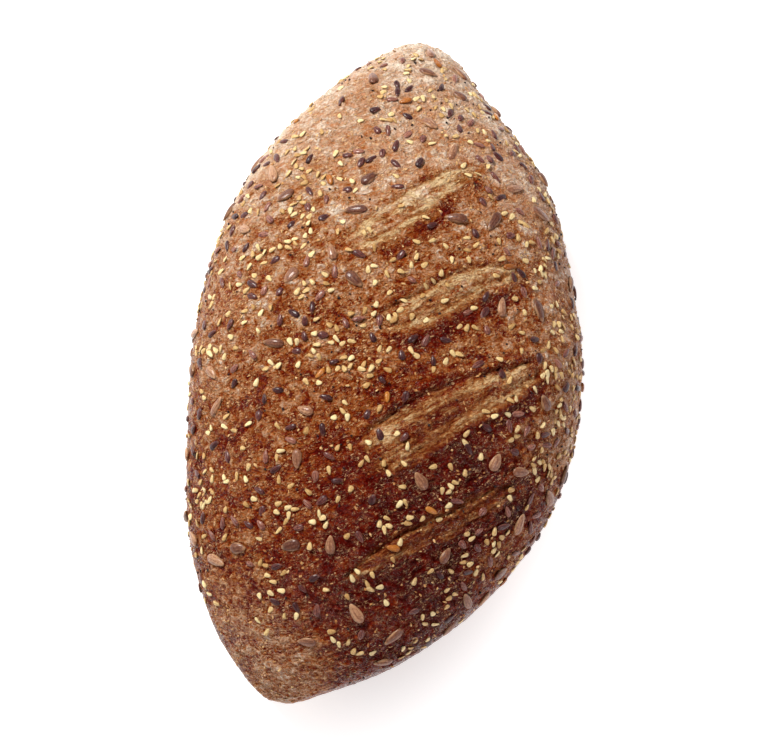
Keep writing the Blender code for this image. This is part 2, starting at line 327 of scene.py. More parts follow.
@dataclass(frozen=True)
class LoafForm:
    """The loaf's form: an outline from above, a dome, a heel that turns in to the base, and scores."""

    length: float = 282 * MM
    height: float = 86 * MM
    belly_height: float = 36 * MM
    tip_height: float = 24 * MM
    left_side: tuple[float, ...] = (-16, -30, -48, -63, -71.5, -77, -74.5, -62, -42, -21.5, -13.5)
    right_side: tuple[float, ...] = (-16, 1, 32.5, 61, 79, 81.5, 71.5, 54, 27, 6.5, -13.5)
    crown_taper: float = 1.15
    crown_lean: float = 5 * MM
    dome_fullness: float = 2.15
    heel_fullness: float = 2.2
    heel_share: float = 0.3
    base_share: float = 0.70
    base_length: float = 236 * MM
    swells: tuple[tuple[float, float, float, float], ...] = (
        (1.1 * MM, 150 * MM, 190 * MM, 3.74),
        (0.7 * MM, -110 * MM, 95 * MM, 5.24),
        (0.4 * MM, 60 * MM, -75 * MM, 0.86),
    )
    scores: tuple[Score, ...] = (
        Score(
            (-21 * MM, 29 * MM), (28 * MM, 79 * MM), width=14 * MM, widest=0.35, bow=1.5 * MM,
            depth=1.6 * MM, lip=0.8 * MM, crease=0.85, phase=0.4,
        ),
        Score(
            (-4 * MM, 0 * MM), (54 * MM, 42 * MM), width=15 * MM, widest=0.40, bow=1.0 * MM,
            depth=1.8 * MM, lip=0.9 * MM, crease=0.80, phase=1.9,
        ),
        Score(
            (-4 * MM, -53 * MM), (67 * MM, 6 * MM), width=22 * MM, widest=0.33, bow=-1.0 * MM,
            depth=2.2 * MM, lip=1.3 * MM, crease=0.85, phase=3.1,
        ),
        Score(
            (-3 * MM, -101 * MM), (70 * MM, -44 * MM), width=10 * MM, widest=0.55, bow=3.0 * MM,
            depth=1.4 * MM, lip=0.7 * MM, crease=0.60, phase=5.0,
        ),
    )
    bare_spots: tuple[tuple[float, float, float], ...] = (
        (-46 * MM, 96 * MM, 25 * MM),
        (-38 * MM, -122 * MM, 22 * MM),
        (24 * MM, -26 * MM, 11 * MM),
    )
    cut_heading: float = math.radians(40)
    wrinkle_heading: float = math.radians(28)
    wrinkled: tuple[Patch, ...] = (
        Patch(20, -22, 20, 1.0),
        Patch(-9, -22, 15, 0.9),
        Patch(10, 32, 16, 0.7),
        Patch(20, -66, 18, 0.7),
        Patch(48, -58, 16, 0.6),
    )

    @staticmethod
    def _through(stations: tuple[float, ...], reach: np.ndarray) -> np.ndarray:
        """A smooth line through evenly spaced stations in millimetres.

        Args:
            stations: The stations, from one tip to the other.
            reach: Where to read the line, from -1 to 1.

        Returns:
            The line's values in metres.
        """
        line = np.array(stations) * MM
        place = (reach + 1) / 2 * (len(line) - 1)
        index = np.clip(np.floor(place).astype(int), 0, len(line) - 2)
        share = place - index
        padded = np.concatenate([[2 * line[0] - line[1]], line, [2 * line[-1] - line[-2]]])
        before, near, far, after = (padded[index + step] for step in range(4))
        return 0.5 * (
            2 * near
            + (far - before) * share
            + (2 * before - 5 * near + 4 * far - after) * share**2
            + (3 * near - 3 * far + after - before) * share**3
        )

    def _section(self, turn: np.ndarray, base_share: np.ndarray) -> tuple[np.ndarray, np.ndarray]:
        """Where a point at a share of a turn lies on the cross-section.

        Args:
            turn: Shares of a turn: 0 at the right, a quarter at the crown, a half at the left.
            base_share: The flat base's share of the width.

        Returns:
            How far across and how far up the point lies, each from -1 to 1.
        """
        turn = np.mod(turn, 1)
        angle = 2 * math.pi * turn
        dome_across = signed_power(np.cos(angle), 2 / self.dome_fullness)
        dome_up = np.abs(np.sin(angle)) ** (2 / self.dome_fullness)
        under = np.clip(2 * turn - 1, 0, 1)
        mirrored = np.minimum(under, 1 - under)
        heel_angle = np.clip(mirrored / self.heel_share, 0, 1) * math.pi / 2
        heel_across = base_share + (1 - base_share) * np.cos(heel_angle) ** (2 / self.heel_fullness)
        flat_across = base_share * (0.5 - mirrored) / (0.5 - self.heel_share)
        side = np.where(under < 0.5, -1, 1)
        under_across = side * np.where(mirrored < self.heel_share, heel_across, flat_across)
        under_up = -(np.sin(heel_angle) ** (2 / self.heel_fullness))
        on_dome = turn < 0.5
        return np.where(on_dome, dome_across, under_across), np.where(on_dome, dome_up, under_up)

    def plain(self, reach: np.ndarray, turn: np.ndarray) -> np.ndarray:
        """The skin without its relief.

        Args:
            reach: Shares of the length, from -1 at the near tip to 1 at the far one.
            turn: Shares of a turn round the cross-section.

        Returns:
            Points with shape (..., 3).
        """
        fullness = np.cos(reach * math.pi / 2)
        left = self._through(self.left_side, reach)
        right = self._through(self.right_side, reach)
        crown = self.tip_height + (self.height - self.tip_height) * fullness**self.crown_taper
        belly = self.tip_height + (self.belly_height - self.tip_height) * fullness
        y = np.sin(reach * math.pi / 2) * self.length / 2
        past_base = (np.abs(y) - self.base_length / 2) / ((self.length - self.base_length) / 2)
        past_base = np.clip(past_base, 0, 1)
        heel = self.tip_height * (1 - np.sqrt(1 - past_base**2))
        across, up = self._section(turn, self.base_share * np.sqrt(1 - past_base**2))
        lean = self.crown_lean * fullness * np.clip(up, 0, 1) ** 2
        x = (left + right) / 2 + (right - left) / 2 * across + lean
        z = belly + np.where(up > 0, crown - belly, belly - heel) * up
        return np.stack([x, y + 0 * x, z], axis=-1)

    def normals(self, reach: np.ndarray, turn: np.ndarray) -> np.ndarray:
        """Outward directions of the plain skin.

        Args:
            reach: Shares of the length.
            turn: Shares of a turn.

        Returns:
            Unit directions with shape (..., 3).
        """
        step = 1e-4
        along = self.plain(reach + step, turn) - self.plain(reach - step, turn)
        round_it = self.plain(reach, turn + step) - self.plain(reach, turn - step)
        facing = np.cross(along, round_it)
        return facing / np.linalg.norm(facing, axis=-1, keepdims=True)

    def fray(self, points: np.ndarray) -> np.ndarray:
        """How far the scores' edges wander at points with shape (n, 3), in metres."""
        return 1.3 * MM * Grain(7 * MM, 31, 2).at(points) + 0.35 * MM * Grain(2 * MM, 37).at(points)

    def slow_relief(self, points: np.ndarray, turn: np.ndarray) -> np.ndarray:
        """The swells and scores of the dome, faded out towards the belly.

        Args:
            points: Points of the plain skin, with shape (n, 3).
            turn: Their shares of a turn, with shape (n,).

        Returns:
            Heights in metres, with shape (n,).
        """
        relief = np.zeros(len(points))
        for height, across, along, phase in self.swells:
            relief += height * np.sin(2 * math.pi * (points[:, 0] / across + points[:, 1] / along) + phase)
        fray = self.fray(points)
        held = 0.65 + 0.6 * Grain(9 * MM, 33, 1, 2.5, self.cut_heading).at(points)
        for score in self.scores:
            relief += score.relief(points, fray, held)
        return relief * self.dome_share(turn)

    def fine_relief(self, points: np.ndarray, turn: np.ndarray) -> np.ndarray:
        """Torn crumb, wrinkles, blisters and grit.

        Args:
            points: Points of the plain skin, with shape (n, 3).
            turn: Their shares of a turn.

        Returns:
            Heights in metres.
        """
        torn = self.torn(points, self.fray(points))
        ridges = 1 - 2.6 * np.abs(Grain(3.4 * MM, 41, 2, 5.0, self.cut_heading).at(points))
        frayed = Grain(1.5 * MM, 43, 2, 2.0, self.cut_heading).at(points)
        relief = torn * (0.75 * MM * ridges + 0.30 * MM * frayed)
        zones = np.sum([patch.at(points) for patch in self.wrinkled], axis=0)
        folds = 1 - 2.6 * np.abs(Grain(2.6 * MM, 47, 2, 3.0, self.wrinkle_heading).at(points))
        relief += np.clip(zones + 0.35, 0, 1) * (1 - torn) * 0.60 * MM * folds
        blisters = np.clip(Grain(5.5 * MM, 53).at(points) - 0.18, 0, None)
        small_blisters = np.clip(Grain(2.2 * MM, 59).at(points) - 0.15, 0, None)
        relief += (1 - torn) * (1.1 * MM * blisters + 1.1 * MM * small_blisters)
        relief += 0.30 * MM * Grain(9 * MM, 61, 2).at(points) + 0.34 * MM * Grain(1.5 * MM, 67, 2).at(points)
        return relief * (0.3 + 0.7 * self.dome_share(turn))

    @staticmethod
    def dome_share(turn: np.ndarray) -> np.ndarray:
        """How fully relief stands at a share of a turn: 1 over the dome and 0 at and under the belly."""
        return smooth_step(np.sin(2 * math.pi * np.clip(np.mod(turn, 1), 0, 0.5)), 0.05, 0.45)

    def torn(self, points: np.ndarray, fray: np.ndarray) -> np.ndarray:
        """Where torn crumb shows in any score, from 0 to 1, at points with shape (n, 3)."""
        return np.max([score.torn(points, fray) for score in self.scores], axis=0)

    def scorched_and_shaded(self, points: np.ndarray, fray: np.ndarray) -> np.ndarray:
        """How much painted shade, and darker baking, the scores add at points with shape (n, 3)."""
        return np.sum([score.scorch_and_shade(points, fray) for score in self.scores], axis=0)

    def is_bare(self, x: float, y: float, margin: float) -> bool:
        """Whether a point seen from above lies in a bare spot or in a score.

        Args:
            x: The point's x.
            y: The point's y.
            margin: How far outside a score still counts.

        Returns:
            True inside a bare spot, a score or its margin.
        """
        for spot_x, spot_y, radius in self.bare_spots:
            if math.hypot(x - spot_x, y - spot_y) < radius:
                return True
        for score in self.scores:
            share, aside, half_width = score.place(np.array(x), np.array(y))
            if -0.03 < share < 1.03 and abs(aside) < half_width + margin:
                return True
        return False


@dataclass
class Bench:
    """A node tree under construction, with short calls that add a node and return its output."""

    tree: bpy.types.NodeTree

    def add(self, kind: str, **settings: object) -> bpy.types.Node:
        """Adds a node and sets its properties.

        Args:
            kind: The node's type name.
            **settings: Properties by name.

        Returns:
            The node.
        """
        node = self.tree.nodes.new(kind)
        for name, value in settings.items():
            setattr(node, name, value)
        return node

    def feed(self, socket: bpy.types.NodeSocket, value: object) -> None:
        """Joins an output to a socket, or sets the socket to a plain value."""
        if isinstance(value, bpy.types.NodeSocket):
            self.tree.links.new(value, socket)
        else:
            socket.default_value = value

    def math(
        self, operation: str, first: object, second: object = 0.0, clamp: bool = False
    ) -> bpy.types.NodeSocket:
        """A Math node.

        Args:
            operation: The sum to do.
            first: An output or a number.
            second: An output or a number.
            clamp: Whether the result is kept between 0 and 1.

        Returns:
            The result.
        """
        node = self.add("ShaderNodeMath", operation=operation, use_clamp=clamp)
        self.feed(node.inputs[0], first)
        self.feed(node.inputs[1], second)
        return node.outputs[0]

    def total(self, *terms: tuple[object, float]) -> bpy.types.NodeSocket:
        """The sum of outputs, each times its weight.

        Args:
            *terms: Outputs with their weights.

        Returns:
            The sum.
        """
        result: object = 0.0
        for value, weight in terms:
            result = self.math("ADD", result, self.math("MULTIPLY", value, weight))
        return result

    def product(self, first: bpy.types.NodeSocket, *others: object) -> bpy.types.NodeSocket:
        """The product of outputs and numbers."""
        for other in others:
            first = self.math("MULTIPLY", first, other)
        return first

    def span(
        self, value: object, low: float, high: float, bottom: float = 0.0, top: float = 1.0
    ) -> bpy.types.NodeSocket:
        """A smooth Map Range.

        Args:
            value: What to map.
            low: The value that gives the bottom.
            high: The value that gives the top.
            bottom: The result below low.
            top: The result above high.

        Returns:
            The result.
        """
        node = self.add("ShaderNodeMapRange", interpolation_type="SMOOTHSTEP")
        for name, given in zip(("From Min", "From Max", "To Min", "To Max"), (low, high, bottom, top)):
            node.inputs[name].default_value = given
        self.feed(node.inputs["Value"], value)
        return node.outputs[0]

    def attribute(self, name: Field) -> bpy.types.Node:
        """An Attribute node that reads one of the fields."""
        return self.add("ShaderNodeAttribute", attribute_name=name.value)

    def stretched(self, heading: float, stretch: float) -> bpy.types.NodeSocket:
        """Object coordinates drawn out along a direction seen from above.

        Args:
            heading: The direction's angle from X, in radians.
            stretch: How many times longer a pattern becomes along it.

        Returns:
            The coordinates.
        """
        turned = self.add("ShaderNodeMapping", vector_type="POINT")
        turned.inputs["Rotation"].default_value = (0, 0, -heading)
        self.feed(turned.inputs["Vector"], self.add("ShaderNodeTexCoord").outputs["Object"])
        drawn = self.add("ShaderNodeMapping", vector_type="POINT")
        drawn.inputs["Scale"].default_value = (1 / stretch, 1, 1)
        self.feed(drawn.inputs["Vector"], turned.outputs[0])
        return drawn.outputs[0]

    def noise(
        self,
        size: float,
        detail: float = 3.0,
        roughness: float = 0.6,
        vector: object = None,
        swirl: float = 0.0,
    ) -> bpy.types.NodeSocket:
        """A Noise texture whose blotches are about a given size.

        Args:
            size: The blotches' size in metres.
            detail: Octaves.
            roughness: How strong the finer octaves are.
            vector: Coordinates, or None for Object coordinates.
            swirl: How far the pattern is swirled.

        Returns:
            The noise, from 0 to 1.
        """
        node = self.add("ShaderNodeTexNoise")
        node.inputs["Scale"].default_value = 1 / size
        node.inputs["Detail"].default_value = detail
        node.inputs["Roughness"].default_value = roughness
        node.inputs["Distortion"].default_value = swirl
        if vector is None:
            vector = self.add("ShaderNodeTexCoord").outputs["Object"]
        self.feed(node.inputs["Vector"], vector)
        return node.outputs["Fac"]

    def ridged(self, noise: bpy.types.NodeSocket, middle: float) -> bpy.types.NodeSocket:
        """How far a noise is from a value, which turns its blotches into lines."""
        return self.math("ABSOLUTE", self.math("SUBTRACT", noise, middle))

    def ramp(self, factor: object, stops: Stops) -> bpy.types.NodeSocket:
        """A colour ramp.

        Args:
            factor: What picks the colour.
            stops: Places from 0 to 1 and their screen colours.

        Returns:
            The colour.
        """
        node = self.add("ShaderNodeValToRGB")
        colours = node.color_ramp.elements
        while len(colours) < len(stops):
            colours.new(0.5)
        for element, (place, colour) in zip(colours, stops):
            element.position = place
            element.color = linear(*colour)
        self.feed(node.inputs[0], factor)
        return node.outputs[0]

    def mix(self, factor: object, first: object, second: object) -> bpy.types.NodeSocket:
        """A blend of two colours.

        Args:
            factor: 0 for the first colour, 1 for the second.
            first: A colour output or value.
            second: A colour output or value.

        Returns:
            The blended colour.
        """
        node = self.add("ShaderNodeMix", data_type="RGBA")
        self.feed(node.inputs[0], factor)
        self.feed(node.inputs[6], first)
        self.feed(node.inputs[7], second)
        return node.outputs[2]

    def bump(self, height: object, depth: float, strength: float) -> bpy.types.NodeSocket:
        """A Bump node.

        Args:
            height: The height, from 0 to 1.
            depth: What a height of 1 stands for, in metres.
            strength: How strongly it shows.

        Returns:
            The bent normal.
        """
        node = self.add("ShaderNodeBump")
        node.inputs["Strength"].default_value = strength
        node.inputs["Distance"].default_value = depth
        self.feed(node.inputs["Height"], height)
        return node.outputs[0]


def new_finish(name: str) -> tuple[bpy.types.Material, Bench, bpy.types.Node]:
    """A new material.

    Args:
        name: The material's name.

    Returns:
        The material, a bench on its nodes and its Principled shader.
    """
    material = bpy.data.materials.new(name)
    material.use_nodes = True
    bench = Bench(material.node_tree)
    return material, bench, material.node_tree.nodes["Principled BSDF"]


@dataclass(frozen=True)
class CrustFinish:
    """Baked crust: a speckled brown that deepens with baking, ochre crumb in the tears, floury dust,
    and painted light: highlight and shade on the relief, glints on pale strands, a sheen on the rim.
    """

    cut_heading: float = math.radians(40)
    fold_heading: float = math.radians(20)
    bake_stops: Stops = (
        (0.00, (232, 215, 196)),
        (0.16, (199, 161, 134)),
        (0.34, (180, 123, 83)),
        (0.50, (151, 82, 32)),
        (0.66, (124, 43, 8)),
        (0.82, (96, 11, 3)),
        (1.00, (70, 3, 1)),
    )
    crumb_stops: Stops = (
        (0.05, (104, 38, 8)),
        (0.32, (148, 88, 42)),
        (0.62, (181, 137, 87)),
        (0.95, (229, 203, 155)),
    )
    fibre_and_glint: Colour = (248, 206, 152)
    flour_and_sheen: Colour = (240, 218, 194)
    specular: float = 0.05
    sheen_of_crust: Colour = (1.0, 0.64, 0.46)
    gloss_roughness: float = 0.13
    gloss_ior: float = 1.32
    blotch_size: float = 9 * MM
    mottle_size: float = 3.6 * MM
    fold_size: float = 1.8 * MM
    pit_size: float = 1.7 * MM
    grit_size: float = 1.0 * MM
    thread_size: float = 1.0 * MM
    painted_glint_size: float = 0.8 * MM
    thread_and_glint_groups: float = 4 * MM
    streak_size: float = 1.3 * MM
    island_size: float = 4.5 * MM
    glint_size: float = 1.3 * MM
    glint_groups: float = 6 * MM
    bead_size: float = 0.9 * MM
    relief_depth: float = 0.7 * MM
    bead_depth: float = 0.8 * MM

    def _threads_and_glints(self, bench: Bench, bake_and_shade: bpy.types.NodeSocket) -> bpy.types.NodeSocket:
        """Pale thread lines, partly painted glints, and painted glint specks, in groups, fewer where baked
        dark.

        Args:
            bench: The material's bench.
            bake_and_shade: How baked the crust is, with the scores' painted shade.

        Returns:
            How fully they show.
        """
        flow = bench.stretched(self.cut_heading, 1.8)
        swirled = bench.noise(self.thread_size, 2, 0.5, flow, 1.0)
        thread = bench.span(bench.ridged(swirled, 0.56), 0.01, 0.03, 0.6, 0.0)
        painted_glints = bench.span(bench.noise(self.painted_glint_size, 1, 0.5, flow), 0.62, 0.67)
        groups = bench.span(bench.noise(self.thread_and_glint_groups, 3), 0.40, 0.55)
        fewer = bench.span(bake_and_shade, 0.25, 1.0, 0.85, 0.5)
        return bench.product(bench.math("MAXIMUM", thread, painted_glints), groups, fewer)

    def _tone(
        self, bench: Bench, bake_and_shade: bpy.types.NodeSocket, *lit: tuple[object, float]
    ) -> bpy.types.NodeSocket:
        """The baking with its blotches, mottles and pits and the relief's painted highlight and shade,
        calmer at both ends of the scale.

        Args:
            bench: The material's bench.
            bake_and_shade: How baked the crust is, with the scores' painted shade.
            *lit: Relief patterns and weights, painted as highlight on raised parts and shade in hollows.

        Returns:
            What picks the colour of the crust.
        """
        blotch = bench.span(bench.noise(self.blotch_size, 4, 0.6), 0.40, 0.60, -0.5, 0.5)
        mottle = bench.span(bench.noise(self.mottle_size, 4, 0.65, swirl=0.6), 0.40, 0.60, -0.5, 0.5)
        mottle = bench.product(mottle, bench.span(bake_and_shade, 0.15, 0.50, 0.25, 1.0))
        pits = bench.span(bench.noise(self.pit_size, 2, 0.6), 0.60, 0.68)
        pits = bench.product(pits, bench.span(bake_and_shade, 0.50, 0.80, 1.0, 0.2))
        change = bench.total((blotch, 0.22), (mottle, 0.24), (pits, 0.18), *lit)
        calm_pale = bench.span(bake_and_shade, 0.05, 0.60, 0.45, 1.0)
        calm_dark = bench.span(bake_and_shade, 0.66, 0.90, 1.0, 0.55)
        return bench.math("ADD", bake_and_shade, bench.product(change, calm_pale, calm_dark), clamp=True)

    def make(self) -> bpy.types.Material:
        """Builds the material.

        Returns:
            The material.
        """
        material, bench, shader = new_finish("baked crust")
        names = (Field.BAKE, Field.CRUMB, Field.FLOUR_AND_SHEEN, Field.RISE)
        bake_and_shade, crumb, flour_and_sheen, rise = (bench.attribute(name).outputs["Fac"] for name in names)
        bent = bench.noise(self.fold_size, 3, 0.55, bench.stretched(self.fold_heading, 2.2), 0.7)
        folds = bench.span(bench.ridged(bent, 0.5), 0.0, 0.13, 0.6, -0.5)
        grit = bench.span(bench.noise(self.grit_size, 2, 0.6), 0.38, 0.62, -0.5, 0.5)
        streaks = bench.noise(self.streak_size, 3, 0.6, bench.stretched(self.cut_heading, 5.0), 0.8)
        islands = bench.noise(self.island_size, 3, 0.6, bench.stretched(self.cut_heading, 2.5), 0.5)
        threads_and_glints = self._threads_and_glints(bench, bake_and_shade)
        # Painted highlight on raised relief, fold crests and grit, and painted shade in their hollows.
        tone = self._tone(bench, bake_and_shade, (rise, -0.23), (folds, -0.15), (grit, -0.14))
        # Pale thread colour: partly the crust's own pale strands, partly painted glints.
        colour = bench.mix(threads_and_glints, bench.ramp(tone, self.bake_stops), linear(*self.fibre_and_glint))

        # Raised crumb and grit are paler: painted highlight on the torn ridges.
        tear = bench.total((streaks, 1.0), (grit, 0.14), (rise, 0.22), (crumb, 0.25), (bake_and_shade, -0.58))
        torn = bench.ramp(bench.span(tear, 0.05, 0.80), self.crumb_stops)
        open_crumb = bench.product(crumb, bench.span(islands, 0.36, 0.60, 0.40, 1.45))
        showing = bench.span(bench.total((open_crumb, 1.0), (folds, 0.35)), 0.15, 0.95, 0.0, 0.76)
        colour = bench.mix(showing, colour, torn)
        # Floury dust, with a painted sheen on the upper-left rim.
        dusted_and_sheen = bench.span(bench.total((flour_and_sheen, 1.0), (folds, 0.3)), 0.15, 0.8, 0.0, 0.72)
        colour = bench.mix(dusted_and_sheen, colour, linear(*self.flour_and_sheen))
        bench.feed(shader.inputs["Base Color"], colour)

        crust_rough = bench.span(tone, 0.15, 0.8, 0.46, 0.24)
        rough = bench.total((crust_rough, 1.0), (showing, 0.15), (dusted_and_sheen, 0.25))
        bench.feed(shader.inputs["Roughness"], rough)
        shader.inputs["Specular IOR Level"].default_value = self.specular
        shader.inputs["Specular Tint"].default_value = (*self.sheen_of_crust, 1.0)
        wet = bench.span(bench.noise(self.glint_groups, 2), 0.34, 0.48)
        glint = bench.span(bench.noise(self.glint_size, 2, 0.6), 0.44, 0.53)
        bench.feed(shader.inputs["Coat Weight"], bench.product(glint, wet))
        shader.inputs["Coat Roughness"].default_value = self.gloss_roughness
        shader.inputs["Coat IOR"].default_value = self.gloss_ior

        on_crumb = bench.span(crumb, 0.0, 1.0, 0.8, 0.35)
        on_pale = bench.span(bake_and_shade, 0.15, 0.60, 0.5, 1.0)
        fine = bench.product(grit, on_crumb, on_pale)
        strands = bench.product(streaks, crumb)
        height = bench.total((folds, 0.6), (fine, 1.0), (threads_and_glints, 0.5), (strands, 1.4))
        bench.feed(shader.inputs["Normal"], bench.bump(height, self.relief_depth, 1.0))
        beaded = bench.total((height, 1.0), (bench.noise(self.bead_size, 1), 1.4))
        bench.feed(shader.inputs["Coat Normal"], bench.bump(beaded, self.bead_depth, 1.0))
        return material


@dataclass(frozen=True)
class SeedFinish:
    """A seed's skin: a colour that varies from seed to seed, mottled, with a rim colour and gloss."""

    name: str
    stops: Stops
    rim: Colour
    rim_share: float
    roughness: float
    coat: float
    soft: float
    streaks: float

    def make(self) -> bpy.types.Material:
        """Builds the material.

        Returns:
            The material.
        """
        material, bench, shader = new_finish(self.name)
        tone = bench.attribute(Field.TONE).outputs["Fac"]
        own = bench.attribute(Field.OWN).outputs["Vector"]
        lined = bench.add("ShaderNodeMapping")
        lined.inputs["Scale"].default_value = (0.4, 5.0, 1.0)
        bench.feed(lined.inputs["Vector"], own)
        lines = bench.add("ShaderNodeTexNoise")
        lines.inputs["Scale"].default_value = 1.6
        bench.feed(lines.inputs["Vector"], lined.outputs[0])
        line = bench.span(lines.outputs["Fac"], 0.35, 0.65, -0.5, 0.5)
        mottle = bench.span(bench.noise(0.8 * MM, 3, 0.6), 0.35, 0.65, -0.5, 0.5)
        shade = bench.math("ADD", tone, bench.math("MULTIPLY", mottle, 0.35))
        shade = bench.math("ADD", shade, bench.math("MULTIPLY", line, self.streaks), clamp=True)
        colour = bench.ramp(shade, self.stops)
        parts = bench.add("ShaderNodeSeparateXYZ")
        bench.feed(parts.inputs[0], own)
        edge = bench.span(bench.math("ABSOLUTE", parts.outputs[1]), 0.60, 1.0)
        tip = bench.span(parts.outputs[0], 0.55, 0.98)
        # Rim colour at the edge and the tip; on sesame, partly painted shade.
        rim = bench.math("MULTIPLY", bench.math("MAXIMUM", edge, tip), self.rim_share)
        colour = bench.mix(rim, colour, linear(*self.rim))
        bench.feed(shader.inputs["Base Color"], colour)
        shader.inputs["Roughness"].default_value = self.roughness
        shader.inputs["Coat Weight"].default_value = self.coat
        shader.inputs["Coat Roughness"].default_value = 0.18
        shader.inputs["Specular IOR Level"].default_value = 0.2
        shader.inputs["Subsurface Weight"].default_value = self.soft
        shader.inputs["Subsurface Radius"].default_value = (1.0, 0.6, 0.3)
        shader.inputs["Subsurface Scale"].default_value = 0.6 * MM
        height = bench.math("ADD", bench.math("MULTIPLY", line, 2 * self.streaks), mottle)
        bench.feed(shader.inputs["Normal"], bench.bump(height, 0.15 * MM, 0.7))
        return material


@dataclass(frozen=True)
class FloorFinish:
    """A plain pale floor that glows as painted light, its glow fading under the loaf into a painted shadow.
    """

    colour: Colour = (205, 205, 205)
    half_width: float = 80 * MM
    half_length: float = 141 * MM
    painted_shadow_glow: float = 0.50
    glow: float = 0.96

    def make(self) -> bpy.types.Material:
        """Builds the material.

        Returns:
            The material.
        """
        material, bench, shader = new_finish("pale floor")
        cloudy = bench.noise(120 * MM, 2)
        faint = tuple(value - 3 for value in self.colour)
        bench.feed(shader.inputs["Base Color"], bench.mix(cloudy, linear(*self.colour), linear(*faint)))
        shader.inputs["Roughness"].default_value = 0.85
        shader.inputs["Specular IOR Level"].default_value = 0.2
        shader.inputs["Emission Color"].default_value = (1.0, 1.0, 1.0, 1.0)
        shrunk = bench.add("ShaderNodeMapping")
        shrunk.inputs["Scale"].default_value = (1 / self.half_width, 1 / self.half_length, 1)
        bench.feed(shrunk.inputs["Vector"], bench.add("ShaderNodeTexCoord").outputs["Object"])
        away = bench.add("ShaderNodeVectorMath", operation="LENGTH")
        bench.feed(away.inputs[0], shrunk.outputs[0])
        # The glow dims under the loaf and near its outline: a painted contact shadow.
        glow = bench.span(away.outputs["Value"], 0.75, 1.20, self.painted_shadow_glow, self.glow)
        bench.feed(shader.inputs["Emission Strength"], glow)
        return material


def mesh_object(name: str, mesh: bpy.types.Mesh) -> bpy.types.Object:
    """Puts a mesh in the scene as an object at the origin.

    Args:
        name: The object's name.
        mesh: Its mesh.

    Returns:
        The object.
    """
    mesh.name = name
    thing = bpy.data.objects.new(name, mesh)
    bpy.context.scene.collection.objects.link(thing)
    return thing


def flattened(thing: bpy.types.Object) -> bpy.types.Mesh:
    """The object's mesh with its modifiers applied, after which they are removed.

    Args:
        thing: The object.

    Returns:
        The plain mesh.
    """
    graph = bpy.context.evaluated_depsgraph_get()
    mesh = bpy.data.meshes.new_from_object(thing.evaluated_get(graph), depsgraph=graph)
    thing.modifiers.clear()
    return mesh


def store(mesh: bpy.types.Mesh, name: Field, values: np.ndarray) -> None:
    """Stores a number or a vector for each vertex of a mesh.

    Args:
        mesh: The mesh.
        name: The attribute.
        values: Numbers with shape (n,), or vectors with shape (n, 3).
    """
    vectors = values.ndim == 2
    layer = mesh.attributes.new(name.value, "FLOAT_VECTOR" if vectors else "FLOAT", "POINT")
    layer.data.foreach_set("vector" if vectors else "value", values.astype(np.float32).ravel())


